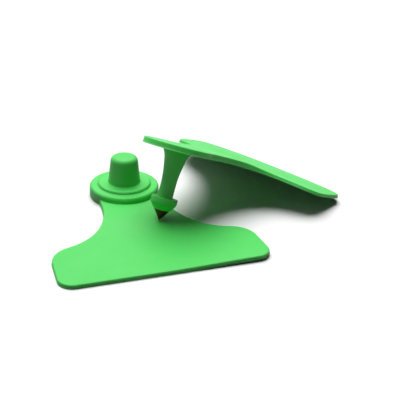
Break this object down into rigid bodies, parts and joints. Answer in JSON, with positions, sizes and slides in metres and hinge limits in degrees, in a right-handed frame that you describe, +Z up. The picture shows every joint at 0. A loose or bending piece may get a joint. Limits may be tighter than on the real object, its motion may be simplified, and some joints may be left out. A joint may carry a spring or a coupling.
{
  "type": "livestock ear tag",
  "caption": "Two-piece plastic flag ear tag for livestock: a female half with collar and closed boss, and a male half with a barbed stud and metal point leaning on it.",
  "frame": {"origin": "on the boss axis at the level underside of the female half, at the mouth of its socket", "axes": "+Z up out of the closed boss, the female flag towards -Y, the male half leaning over towards +X"},
  "size_m": [0.122, 0.1024, 0.0349],
  "materials": {
    "green_tpu": "soft injection-moulded polyurethane, satin",
    "tip_metal": "turned metal, darkened bronze tone, slightly glossy"
  },
  "bodies": {
    "root": {"female_tag": "green_tpu", "male_tag": "green_tpu", "piercing_tip": "tip_metal"}
  },
  "joints": []
}
